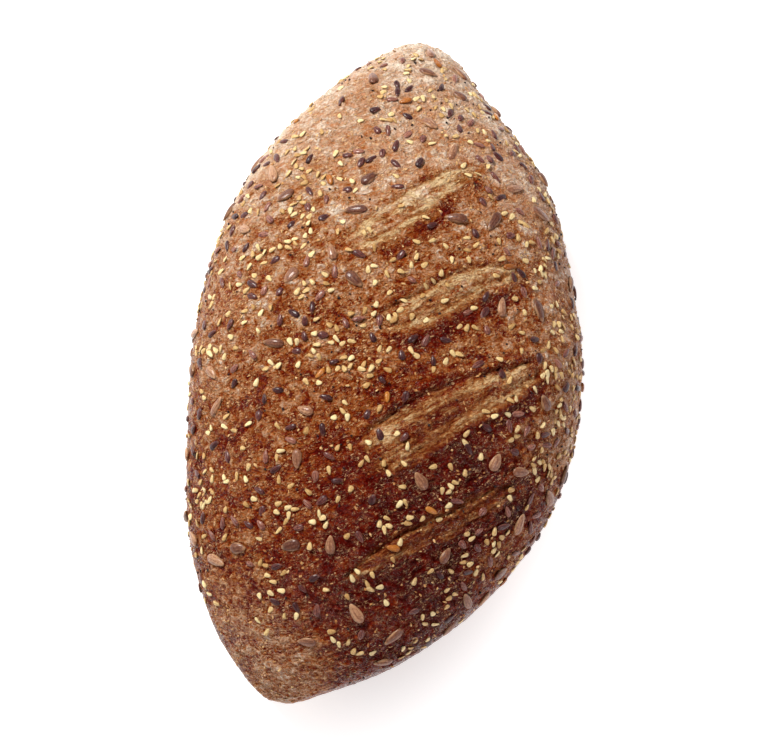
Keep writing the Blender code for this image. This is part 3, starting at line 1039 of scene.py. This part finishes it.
@dataclass
class Crust:
    """The loaf's whole skin, with its relief and its baked colour, which also holds painted highlight and
    shade.
    """

    form: LoafForm
    finish: CrustFinish
    steps_along: int = 700
    steps_round: int = 560
    dome_steps_share: float = 0.83
    triangles: int = 194000
    smooth_tip: float = 0.12
    bake_middle: float = 0.62
    bake_fall: float = 0.0040
    bake_from: float = -45
    bake_to: float = 130
    bake_drift: float = 0.10
    drift_size: float = 34 * MM
    bake_under: float = 0.42
    lowest_score: float = 30
    # Paler upper-left rim: partly floury dust, partly a painted sheen where the key light grazes.
    floury_sheen_rim: Patch = Patch(-60, 78, radius=28, amount=1.0, tall=44 / 28)
    floury_end: Patch = Patch(-30, -122, radius=30, amount=0.22, tall=22 / 30)
    floury_under: float = 0.30
    baked: tuple[Patch, ...] = (
        Patch(22, -22, 24, 0.16),
        # Paler at the third score's left end: a painted highlight on its bulge.
        Patch(10, -40, 9, -0.24),
        Patch(54, -58, 26, 0.14),
        Patch(22, -68, 24, 0.26),
        Patch(0, -118, 20, 0.12),
        Patch(26, 15, 15, 0.10),
        Patch(-12, 0, 24, -0.04),
        Patch(-30, 98, 34, 0.05),
        Patch(10, 38, 18, 0.12),
        Patch(22, -116, 24, 0.08),
        Patch(-46, -34, 18, 0.06),
        Patch(76, 24, 20, -0.16),
        Patch(-22, -52, 22, -0.06),
        Patch(45, -92, 24, 0.12),
        Patch(-60, 70, 34, -0.10),
        Patch(-4, 118, 34, 0.02),
        Patch(-15, -138, 24, -0.38),
        Patch(-40, -112, 26, -0.10),
        Patch(-66, -20, 30, -0.17),
        Patch(80, -20, 22, -0.24),
        Patch(62, -78, 22, -0.22),
        Patch(-48, -64, 26, -0.08),
    )

    def _turns(self) -> np.ndarray:
        """Shares of a turn for one ring, closer together over the dome than under the loaf."""
        over = int(self.steps_round * self.dome_steps_share)
        dome = np.linspace(0, 0.5, over, endpoint=False)
        under = np.linspace(0.5, 1, self.steps_round - over, endpoint=False)
        return np.concatenate([dome, under])

    def _mesh(self) -> bpy.types.Mesh:
        """The full-density skin, closed at both tips.

        Returns:
            The mesh.
        """
        reaches = np.linspace(-1, 1, self.steps_along + 1)[1:-1]
        turns = self._turns()
        reach, turn = (grid.ravel() for grid in np.meshgrid(reaches, turns, indexing="ij"))
        points = self.form.plain(reach, turn)
        facing = self.form.normals(reach, turn)
        fine = self.form.fine_relief(points, turn)
        relief = (self.form.slow_relief(points, turn) + fine) * smooth_step(points[:, 2], 0, 3 * MM)
        held = smooth_step(np.cos(reach * math.pi / 2), 0, self.smooth_tip)
        even = np.repeat(relief.reshape(len(reaches), -1).mean(axis=1), len(turns))
        relief = held * relief + (1 - held) * even
        fields = self._colour_fields(points, facing[:, 2], fine)
        points = points + facing * relief[:, None]
        points[:, 2] = np.maximum(points[:, 2], 0)
        tips = np.stack([points[: len(turns)].mean(axis=0), points[-len(turns) :].mean(axis=0)])

        rings, round_it = len(reaches), len(turns)
        ring, here = np.meshgrid(np.arange(rings - 1), np.arange(round_it), indexing="ij")
        there = (here + 1) % round_it
        first, second = ring * round_it, (ring + 1) * round_it
        quads = np.stack([first + here, second + here, second + there, first + there], axis=-1)
        here, there = np.arange(round_it), (np.arange(round_it) + 1) % round_it
        near_tip, far_tip, last = rings * round_it, rings * round_it + 1, (rings - 1) * round_it
        near = np.stack([np.full(round_it, near_tip), here, there], axis=-1)
        far = np.stack([np.full(round_it, far_tip), last + there, last + here], axis=-1)
        mesh = bpy.data.meshes.new("crust")
        faces = quads.reshape(-1, 4).tolist() + near.tolist() + far.tolist()
        mesh.from_pydata(np.concatenate([points, tips]).tolist(), [], faces)
        for name, values in fields.items():
            store(mesh, name, np.concatenate([values, values[:1], values[-1:]]))
        return mesh

    def _colour_fields(self, points: np.ndarray, up: np.ndarray, fine: np.ndarray) -> dict[Field, np.ndarray]:
        """How baked, torn, floury and raised each vertex is, with painted score shade and a painted rim
        sheen.

        Args:
            points: Points of the plain skin, with shape (n, 3).
            up: How far each faces up, from -1 to 1.
            fine: The fine relief there, in metres.

        Returns:
            The fields by name.
        """
        y, z = points[:, 1] / MM, points[:, 2] / MM
        bake_and_shade = self.bake_middle - self.bake_fall * np.clip(y, self.bake_from, self.bake_to)
        bake_and_shade += np.sum([patch.at(points) for patch in self.baked], axis=0)
        bake_and_shade += self.bake_drift * Grain(self.drift_size, 71, 2).at(points)
        fray = self.form.fray(points)
        on_top = z > self.lowest_score
        # The scores' painted shade, and the darker baking below them, join the baking here.
        bake_and_shade += self.form.scorched_and_shaded(points, fray) * on_top
        under = (1 - smooth_step(z, 4, 24)) / 2
        bake_and_shade = bake_and_shade * (1 - under) + self.bake_under * under
        # The upper-left rim, turning from the top, is paler: floury dust and a painted sheen.
        flour_and_sheen = self.floury_sheen_rim.at(points) * (1 - smooth_step(up, 0.25, 0.8))
        flour_and_sheen += self.floury_end.at(points)
        flour_and_sheen += self.floury_under * (1 - smooth_step(up, -0.9, -0.2))
        return {
            Field.BAKE: np.clip(bake_and_shade, 0, 1),
            Field.CRUMB: self.form.torn(points, fray) * on_top,
            Field.FLOUR_AND_SHEEN: flour_and_sheen,
            Field.RISE: np.clip(fine / (0.6 * MM), -1, 1),
        }

    def build(self) -> bpy.types.Object:
        """Builds the crust at full density, thins it where it is even, and dresses it.

        Returns:
            The crust.
        """
        crust = mesh_object("crust", self._mesh())
        thinning = crust.modifiers.new("thinning", "DECIMATE")
        thinning.ratio = self.triangles / sum(len(face.vertices) - 2 for face in crust.data.polygons)
        crust.data = flattened(crust)
        crust.data.shade_smooth()
        crust.data.materials.append(self.finish.make())
        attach(crust, BODY)
        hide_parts(NODE)
        return crust


@dataclass(frozen=True)
class SeedKind:
    """One kind of seed: its sizes, how it lies on the crust and how it is finished."""

    name: str
    slot: Slot
    finish: SeedFinish
    length: float
    width: float
    thickness: float
    taper: float
    segments: int
    rings: int
    spread: float
    tilt: float
    sunk: float
    seed: int


@dataclass
class SeedBed:
    """Where the seeds lie: a rule that fills the seeded part of the crust and keeps seeds apart."""

    form: LoafForm
    seeded_from: float = -122 * MM
    seeded_to: float = 131 * MM
    lowest: float = 29 * MM
    rise: float = 16 * MM
    score_margin: float = 3.5 * MM
    cell: float = 6 * MM
    clump_size: float = 17 * MM
    clump_pull: float = 1.7
    group_size: float = 5 * MM
    group_pull: float = 2.0
    patches: tuple[Patch, ...] = (
        Patch(-48, 54, 22, 2.2),
        Patch(-2, 70, 16, -0.5),
        Patch(3, 102, 24, 0.9),
        Patch(48, 42, 22, 0.5),
        Patch(63, -15, 22, 0.9),
        Patch(-12, -6, 24, 1.6),
        Patch(-56, -40, 30, -0.45),
        Patch(-10, -70, 26, -0.35),
        Patch(14, -112, 22, 0.1),
        Patch(28, -90, 13, -0.8),
        Patch(50, -84, 20, 0.4),
        Patch(-46, 96, 26, -1.3),
        Patch(-38, -122, 24, -1.0),
        Patch(12, -104, 17, -0.75),
        Patch(24, -26, 14, -0.7),
    )
    taken: dict[tuple[int, int, int], list[tuple[np.ndarray, float]]] = field(default_factory=dict)

    def _key(self, spot: np.ndarray) -> tuple[int, int, int]:
        """The cell that a point lies in."""
        return tuple(int(value // self.cell) for value in spot)

    def free(self, spot: np.ndarray, spacing: float) -> bool:
        """Whether a seed fits at a point.

        Args:
            spot: The point.
            spacing: The room that the seed needs.

        Returns:
            True if no seed there is nearer than the mean of both spacings.
        """
        key = self._key(spot)
        for step in np.ndindex(5, 5, 5):
            near = tuple(part + offset - 2 for part, offset in zip(key, step))
            for other, gap in self.taken.get(near, ()):
                if np.linalg.norm(spot - other) < (spacing + gap) / 2:
                    return False
        return True

    def take(self, spot: np.ndarray, spacing: float) -> None:
        """Marks a point as taken by a seed of that spacing."""
        self.taken.setdefault(self._key(spot), []).append((spot, spacing))

    def fused(self, draw: random.Random, count: int, spacing: float, tilt: float) -> list[tuple[float, ...]]:
        """Lays seeds where the solid has its fused ones, by the same draws.

        Args:
            draw: The random draws, shared by the fused kinds.
            count: How many seeds to lay.
            spacing: The room that each needs.
            tilt: The most that one tilts.

        Returns:
            Reach, turn, heading and tilt of each seed.
        """
        laid: list[tuple[float, ...]] = []
        while len(laid) < count:
            reach, turn = draw.uniform(-1, 1), draw.uniform(0, 0.5)
            spot = self.form.plain(np.array(reach), np.array(turn))
            fullness = math.cos(reach * math.pi / 2)
            lowest = self.lowest + self.rise * (1 - fullness)
            outside = not self.seeded_from < spot[1] < self.seeded_to
            if draw.random() > fullness or outside or spot[2] < lowest:
                continue
            if self.form.is_bare(spot[0], spot[1], self.score_margin):
                continue
            if not self.free(spot, spacing):
                continue
            self.take(spot, spacing)
            laid.append((reach, turn, draw.uniform(0, 2 * math.pi), draw.uniform(-tilt, tilt)))
        return laid

    def density(self, points: np.ndarray, fullness: np.ndarray, clump: int, bare: float) -> np.ndarray:
        """How thickly loose seeds lie.

        Args:
            points: Points of the plain skin, with shape (n, 3).
            fullness: The loaf's fullness there.
            clump: The draw of the clumps.
            bare: The share of seeds that the scores keep.

        Returns:
            Weights from 0 up, with shape (n,).
        """
        clumps = self.clump_pull * Grain(self.clump_size, clump, 2).at(points)
        groups = self.group_pull * Grain(self.group_size, clump + 5).at(points)
        weight = np.exp(clumps + groups)
        weight *= np.clip(1 + np.sum([patch.at(points) for patch in self.patches], axis=0), 0.05, None)
        torn = self.form.torn(points, np.zeros(len(points)))
        weight *= 1 - (1 - bare) * torn
        ends = smooth_step(points[:, 1], self.seeded_from, self.seeded_from + 10 * MM)
        ends *= 1 - smooth_step(points[:, 1], self.seeded_to - 8 * MM, self.seeded_to)
        low = self.lowest + self.rise * (1 - fullness)
        return weight * ends * smooth_step(points[:, 2] - low, -2 * MM, 8 * MM)

    def scattered(
        self,
        count: int,
        spacing: float,
        tilt: float,
        seed: int,
        bare: float = 0.25,
        spill: float = 0.0,
    ) -> list[tuple[float, ...]]:
        """Lays loose seeds in clumps over the seeded crust.

        Args:
            count: How many seeds to lay.
            spacing: The room that each needs.
            tilt: The usual tilt, in radians.
            seed: The draw.
            bare: The share of seeds that the scores keep.
            spill: The share that may lie anywhere on the dome.

        Returns:
            Reach, turn, heading and tilt of each seed.
        """
        draw = np.random.default_rng(seed)
        tries = count * 60
        reach, turn = draw.uniform(-1, 1, tries), draw.uniform(0, 0.5, tries)
        points = self.form.plain(reach, turn)
        fullness = np.cos(reach * math.pi / 2)
        weight = self.density(points, fullness, seed, bare) + spill
        weight *= fullness * (points[:, 2] > 12 * MM)
        keep = draw.uniform(0, np.quantile(weight, 0.995), tries) < weight
        laid: list[tuple[float, ...]] = []
        for index in np.flatnonzero(keep):
            if len(laid) == count:
                break
            if not self.free(points[index], spacing):
                continue
            self.take(points[index], spacing)
            heading, lean = draw.uniform(0, 2 * math.pi), draw.normal(0, tilt)
            laid.append((reach[index], turn[index], heading, lean))
        return laid


def seed_tree(name: str) -> bpy.types.NodeTree:
    """The node tree that grows one kind of seed on points: a tapered drop on each, varied by a seeded draw.

    Args:
        name: The tree's name.

    Returns:
        The tree, with named inputs for the sizes.
    """
    tree = bpy.data.node_groups.new(name, "GeometryNodeTree")
    face = tree.interface
    face.new_socket("Points", in_out="INPUT", socket_type="NodeSocketGeometry")
    for label in ("Length", "Width", "Thickness", "Taper", "Spread"):
        face.new_socket(label, in_out="INPUT", socket_type="NodeSocketFloat")
    for label in ("Segments", "Rings", "Seed"):
        face.new_socket(label, in_out="INPUT", socket_type="NodeSocketInt")
    face.new_socket("Finish", in_out="INPUT", socket_type="NodeSocketMaterial")
    face.new_socket("Seeds", in_out="OUTPUT", socket_type="NodeSocketGeometry")
    bench = Bench(tree)
    given = bench.add("NodeGroupInput").outputs
    ball = bench.add("GeometryNodeMeshUVSphere")
    bench.feed(ball.inputs["Segments"], given["Segments"])
    bench.feed(ball.inputs["Rings"], given["Rings"])
    ball.inputs["Radius"].default_value = 1.0

    parts = bench.add("ShaderNodeSeparateXYZ")
    bench.feed(parts.inputs[0], bench.add("GeometryNodeInputPosition").outputs[0])
    across, up, along = parts.outputs
    narrowing = bench.math("SUBTRACT", 1.0, bench.math("MULTIPLY", along, given["Taper"]))
    drop = bench.add("ShaderNodeCombineXYZ")
    sizes = (("Length", along, None), ("Width", across, narrowing), ("Thickness", up, narrowing))
    for index, (label, part, factor) in enumerate(sizes):
        size = bench.math("MULTIPLY", bench.math("MULTIPLY", given[label], 0.5), part)
        bench.feed(drop.inputs[index], bench.math("MULTIPLY", size, factor) if factor else size)
    own = bench.add("ShaderNodeCombineXYZ")
    for index, part in enumerate((along, across, up)):
        bench.feed(own.inputs[index], part)
    marked = bench.add("GeometryNodeStoreNamedAttribute", data_type="FLOAT_VECTOR", domain="POINT")
    marked.inputs["Name"].default_value = Field.OWN.value
    bench.feed(marked.inputs["Geometry"], ball.outputs["Mesh"])
    bench.feed(marked.inputs["Value"], own.outputs[0])
    shaped = bench.add("GeometryNodeSetPosition")
    bench.feed(shaped.inputs["Geometry"], marked.outputs[0])
    bench.feed(shaped.inputs["Position"], drop.outputs[0])

    lie = bench.add("GeometryNodeInputNamedAttribute", data_type="FLOAT_VECTOR")
    lie.inputs["Name"].default_value = Field.LIE.value
    turned = bench.add("FunctionNodeEulerToRotation")
    bench.feed(turned.inputs[0], lie.outputs[0])
    scale = bench.add("FunctionNodeRandomValue", data_type="FLOAT_VECTOR")
    for socket, operation in ((scale.inputs[0], "SUBTRACT"), (scale.inputs[1], "ADD")):
        bound = bench.math(operation, 1.0, given["Spread"])
        bench.feed(socket, bound)
    bench.feed(scale.inputs["Seed"], given["Seed"])
    placed = bench.add("GeometryNodeInstanceOnPoints")
    bench.feed(placed.inputs["Points"], given["Points"])
    bench.feed(placed.inputs["Instance"], shaped.outputs[0])
    bench.feed(placed.inputs["Rotation"], turned.outputs[0])
    bench.feed(placed.inputs["Scale"], scale.outputs[0])
    tone = bench.add("FunctionNodeRandomValue", data_type="FLOAT")
    bench.feed(tone.inputs["Seed"], bench.math("ADD", given["Seed"], 7.0))
    toned = bench.add("GeometryNodeStoreNamedAttribute", data_type="FLOAT", domain="INSTANCE")
    toned.inputs["Name"].default_value = Field.TONE.value
    bench.feed(toned.inputs["Geometry"], placed.outputs[0])
    drawn = next(out for out in tone.outputs if out.enabled and out.type == "VALUE")
    bench.feed(toned.inputs["Value"], drawn)
    solid = bench.add("GeometryNodeRealizeInstances")
    bench.feed(solid.inputs[0], toned.outputs[0])
    smooth = bench.add("GeometryNodeSetShadeSmooth")
    bench.feed(smooth.inputs[0], solid.outputs[0])
    dressed = bench.add("GeometryNodeSetMaterial")
    bench.feed(dressed.inputs["Geometry"], smooth.outputs[0])
    bench.feed(dressed.inputs["Material"], given["Finish"])
    bench.feed(bench.add("NodeGroupOutput").inputs[0], dressed.outputs[0])
    return tree


@dataclass
class Seeds:
    """All seeds of one kind, as one mesh on the crust."""

    kind: SeedKind
    form: LoafForm
    laid: list[tuple[float, ...]]

    def _relief(self, points: np.ndarray, turn: np.ndarray) -> np.ndarray:
        """How far the crust stands above the plain skin at points with shape (n, 3)."""
        return self.form.slow_relief(points, turn) + self.form.fine_relief(points, turn)

    def _points(self) -> bpy.types.Mesh:
        """One vertex for each seed, carrying how the seed lies.

        Returns:
            The points.
        """
        reach, turn, heading, lean = (np.array(column) for column in zip(*self.laid))
        plain = self.form.plain(reach, turn)
        facing = self.form.normals(reach, turn)
        uprights = [Vector(normal).to_track_quat("Z", "Y").to_matrix() for normal in facing]
        turned = [upright @ Matrix.Rotation(angle, 3, "Z") for upright, angle in zip(uprights, heading)]
        ahead = np.array([matrix.col[0] for matrix in turned])
        arm = 0.32 * self.kind.length
        middle, head, tail = (self._relief(plain + ahead * step, turn) for step in (0.0, arm, -arm))
        lift = np.maximum(middle, (head + tail) / 2) + self.kind.thickness * (0.5 - self.kind.sunk)
        pitch = np.arctan2(head - tail, 2 * arm)
        spots = plain + facing * lift[:, None]
        lies = []
        for matrix, raised, tilted in zip(turned, pitch, lean):
            lying = matrix @ Matrix.Rotation(-raised, 3, "Y") @ Matrix.Rotation(tilted, 3, "X")
            lies.append(tuple(lying.to_euler("XYZ")))
        mesh = bpy.data.meshes.new(self.kind.name + "_points")
        mesh.from_pydata(spots.tolist(), [], [])
        store(mesh, Field.LIE, np.array(lies))
        return mesh

    def build(self) -> bpy.types.Object:
        """Grows the seeds on their points and dresses them.

        Returns:
            The seeds.
        """
        kind = self.kind
        seeds = mesh_object(kind.name, self._points())
        tree = seed_tree(kind.name + " tree")
        grown = seeds.modifiers.new("grown", "NODES")
        grown.node_group = tree
        values = {
            "Length": kind.length,
            "Width": kind.width,
            "Thickness": kind.thickness,
            "Taper": kind.taper,
            "Spread": kind.spread,
            "Segments": kind.segments,
            "Rings": kind.rings,
            "Seed": kind.seed,
            "Finish": kind.finish.make(),
        }
        for item in tree.interface.items_tree:
            if item.item_type == "SOCKET" and item.in_out == "INPUT" and item.name in values:
                grown[item.identifier] = values[item.name]
        seeds.data = flattened(seeds)
        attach(seeds, BODY)
        return seeds


@dataclass(frozen=True)
class Lamp:
    """A soft square light that faces the loaf, with its angles in degrees and its power in watts."""

    name: str
    azimuth: float
    elevation: float
    far: float
    size: float
    power: float
    colour: Colour


@dataclass(frozen=True)
class Studio:
    """The floor, the lights and the camera."""

    azimuth: float = 10.4
    elevation: float = 76.0
    distance: float = 0.90
    lens: float = 105.0
    target: tuple[float, float, float] = (0.0, -0.005, 0.035)
    floor_radius: float = 3.0
    lamps: tuple[Lamp, ...] = (
        Lamp("key", azimuth=232, elevation=50, far=1.5, size=0.48, power=33.0, colour=(1.0, 0.96, 0.91)),
        Lamp("fill", azimuth=55, elevation=32, far=1.6, size=0.7, power=8.5, colour=(1.0, 0.78, 0.78)),
    )
    sky: float = 0.09
    horizon: float = 0.16

    @staticmethod
    def _behind(azimuth: float, elevation: float) -> Vector:
        """The direction from the loaf towards an azimuth and an elevation in degrees."""
        turn, rise = math.radians(azimuth), math.radians(elevation)
        return Vector((math.sin(turn) * math.cos(rise), -math.cos(turn) * math.cos(rise), math.sin(rise)))

    def _floor(self) -> None:
        """A round pale floor at the loaf's base."""
        mesh = bpy.data.meshes.new("floor")
        corners = 96
        turns = [2 * math.pi * step / corners for step in range(corners)]
        rim = [(self.floor_radius * math.cos(a), self.floor_radius * math.sin(a), 0.0) for a in turns]
        mesh.from_pydata(rim, [], [tuple(range(corners))])
        mesh.materials.append(FloorFinish().make())
        mesh_object("floor", mesh)

    def _light(self, lamp: Lamp) -> None:
        """Adds a lamp that faces the loaf."""
        light = bpy.data.lights.new(lamp.name, "AREA")
        light.shape, light.size = "SQUARE", lamp.size
        light.energy, light.color = lamp.power, lamp.colour
        thing = bpy.data.objects.new(lamp.name, light)
        behind = self._behind(lamp.azimuth, lamp.elevation)
        thing.location = behind * lamp.far
        thing.rotation_mode = "QUATERNION"
        thing.rotation_quaternion = behind.to_track_quat("Z", "Y")
        bpy.context.scene.collection.objects.link(thing)

    def _camera(self) -> None:
        """The camera at the picture's viewing angle."""
        camera = bpy.data.cameras.new("camera")
        camera.lens, camera.sensor_width = self.lens, 36.0
        thing = bpy.data.objects.new("camera", camera)
        behind = self._behind(self.azimuth, self.elevation)
        thing.location = Vector(self.target) + behind * self.distance
        thing.rotation_mode = "QUATERNION"
        thing.rotation_quaternion = behind.to_track_quat("Z", "Y")
        bpy.context.scene.collection.objects.link(thing)
        bpy.context.scene.camera = thing

    def build(self) -> None:
        """Builds the floor, the lights, the sky and the camera."""
        self._floor()
        for lamp in self.lamps:
            self._light(lamp)
        world = bpy.data.worlds.new("sky")
        world.use_nodes = True
        background = world.node_tree.nodes["Background"]
        background.inputs["Color"].default_value = (1.0, 0.98, 0.96, 1.0)
        bench = Bench(world.node_tree)
        direction = bench.add("ShaderNodeTexCoord").outputs["Generated"]
        height = bench.add("ShaderNodeSeparateXYZ")
        bench.feed(height.inputs[0], direction)
        fade = bench.span(height.outputs[2], self.horizon, self.horizon + 0.04, 1.0, self.sky)
        bench.feed(background.inputs["Strength"], fade)
        bpy.context.scene.world = world
        bpy.context.scene.view_settings.view_transform = "Standard"
        self._camera()


# Sesame's darker rim: partly the seed's edge, partly painted shade round its outline.
SESAME_SKIN = SeedFinish(
    "hulled sesame",
    ((0.0, (182, 140, 84)), (0.35, (206, 172, 114)), (0.7, (224, 199, 144)), (1.0, (236, 219, 168))),
    rim=(140, 96, 46), rim_share=0.85, roughness=0.42, coat=0.10, soft=0.04, streaks=0.25,
)
FLAX_SKIN = SeedFinish(
    "brown linseed",
    ((0.0, (48, 16, 20)), (0.45, (82, 36, 36)), (0.8, (118, 66, 56)), (1.0, (156, 104, 84))),
    rim=(150, 96, 78), rim_share=0.5, roughness=0.34, coat=0.40, soft=0.0, streaks=0.45,
)
GOLDEN_SKIN = SeedFinish(
    "golden linseed",
    ((0.0, (140, 78, 24)), (0.5, (164, 96, 34)), (1.0, (190, 124, 54))),
    rim=(140, 84, 36), rim_share=0.4, roughness=0.26, coat=0.3, soft=0.1, streaks=0.3,
)
KERNEL_SKIN = SeedFinish(
    "sunflower kernel",
    ((0.0, (80, 40, 28)), (0.35, (114, 70, 50)), (0.7, (142, 96, 70)), (1.0, (182, 138, 104))),
    rim=(196, 156, 114), rim_share=0.5, roughness=0.34, coat=0.40, soft=0.0, streaks=0.32,
)
SPECK_SKIN = SeedFinish(
    "dark seed",
    ((0.0, (26, 14, 16)), (0.6, (44, 24, 24)), (1.0, (64, 36, 32))),
    rim=(58, 36, 36), rim_share=0.3, roughness=0.45, coat=0.1, soft=0.0, streaks=0.2,
)
BRAN_SKIN = SeedFinish(
    "bran",
    ((0.0, (150, 92, 46)), (0.5, (198, 142, 84)), (1.0, (236, 200, 144))),
    rim=(214, 170, 112), rim_share=0.4, roughness=0.5, coat=0.05, soft=0.1, streaks=0.3,
)

KERNELS = SeedKind(
    "sunflower_kernels", Slot.SUNFLOWER, KERNEL_SKIN,
    length=8.0 * MM, width=4.0 * MM, thickness=2.1 * MM, taper=0.30,
    segments=16, rings=11, spread=0.18, tilt=0.17, sunk=0.34, seed=11,
)
FLAX = SeedKind(
    "brown_linseed", Slot.FLAX, FLAX_SKIN,
    length=4.8 * MM, width=2.5 * MM, thickness=1.3 * MM, taper=0.24,
    segments=10, rings=7, spread=0.18, tilt=0.16, sunk=0.32, seed=13,
)
GOLDEN = SeedKind(
    "golden_linseed", Slot.GOLDEN_FLAX, GOLDEN_SKIN,
    length=5.0 * MM, width=2.6 * MM, thickness=1.4 * MM, taper=0.24,
    segments=10, rings=7, spread=0.14, tilt=0.14, sunk=0.18, seed=17,
)
SESAME = SeedKind(
    "sesame", Slot.SESAME, SESAME_SKIN,
    length=3.3 * MM, width=1.9 * MM, thickness=0.8 * MM, taper=0.42,
    segments=12, rings=8, spread=0.16, tilt=0.22, sunk=0.20, seed=19,
)
SPECKS = SeedKind(
    "dark_seeds", Slot.DARK_SEED, SPECK_SKIN,
    length=1.0 * MM, width=0.9 * MM, thickness=0.8 * MM, taper=0.05,
    segments=6, rings=4, spread=0.35, tilt=0.3, sunk=0.15, seed=23,
)
FLAKES = SeedKind(
    "bran", Slot.BRAN, BRAN_SKIN,
    length=1.3 * MM, width=0.8 * MM, thickness=0.3 * MM, taper=0.2,
    segments=6, rings=4, spread=0.45, tilt=0.35, sunk=0.10, seed=29,
)


def lay_seeds(form: LoafForm) -> list[Seeds]:
    """Lays every kind of seed, the fused kinds first and the smallest last.

    Args:
        form: The loaf.

    Returns:
        The seeds, ready to build.
    """
    bed = SeedBed(form)
    draw = random.Random(5)
    tilt = math.radians(8)
    kernels = bed.fused(draw, 58, 11 * MM, tilt)
    flax = bed.fused(draw, 96, 6.5 * MM, tilt)
    flax += bed.scattered(count=165, spacing=3.9 * MM, tilt=FLAX.tilt, seed=101)
    golden = bed.scattered(count=12, spacing=3.9 * MM, tilt=GOLDEN.tilt, seed=103)
    sesame = bed.scattered(count=640, spacing=2.15 * MM, tilt=SESAME.tilt, seed=107)
    specks = bed.scattered(count=150, spacing=1.4 * MM, tilt=SPECKS.tilt, seed=109, bare=0.6, spill=0.15)
    flakes = bed.scattered(count=900, spacing=1.2 * MM, tilt=FLAKES.tilt, seed=113, bare=1.0, spill=0.6)
    pairs = (
        (KERNELS, kernels),
        (FLAX, flax),
        (GOLDEN, golden),
        (SESAME, sesame),
        (SPECKS, specks),
        (FLAKES, flakes),
    )
    return [Seeds(kind, form, laid) for kind, laid in pairs]


def main() -> None:
    """Builds the studio, the crust and the seeds."""
    logging.basicConfig(level=logging.INFO, format="%(message)s")
    Studio().build()
    form = LoafForm()
    crust = Crust(form, CrustFinish()).build()
    LOG.info("%s: %d faces", crust.name, len(crust.data.polygons))
    for seeds in lay_seeds(form):
        built = seeds.build()
        LOG.info("%s: %d seeds, %d faces", built.name, len(seeds.laid), len(built.data.polygons))


if __name__ == "__main__":
    main()
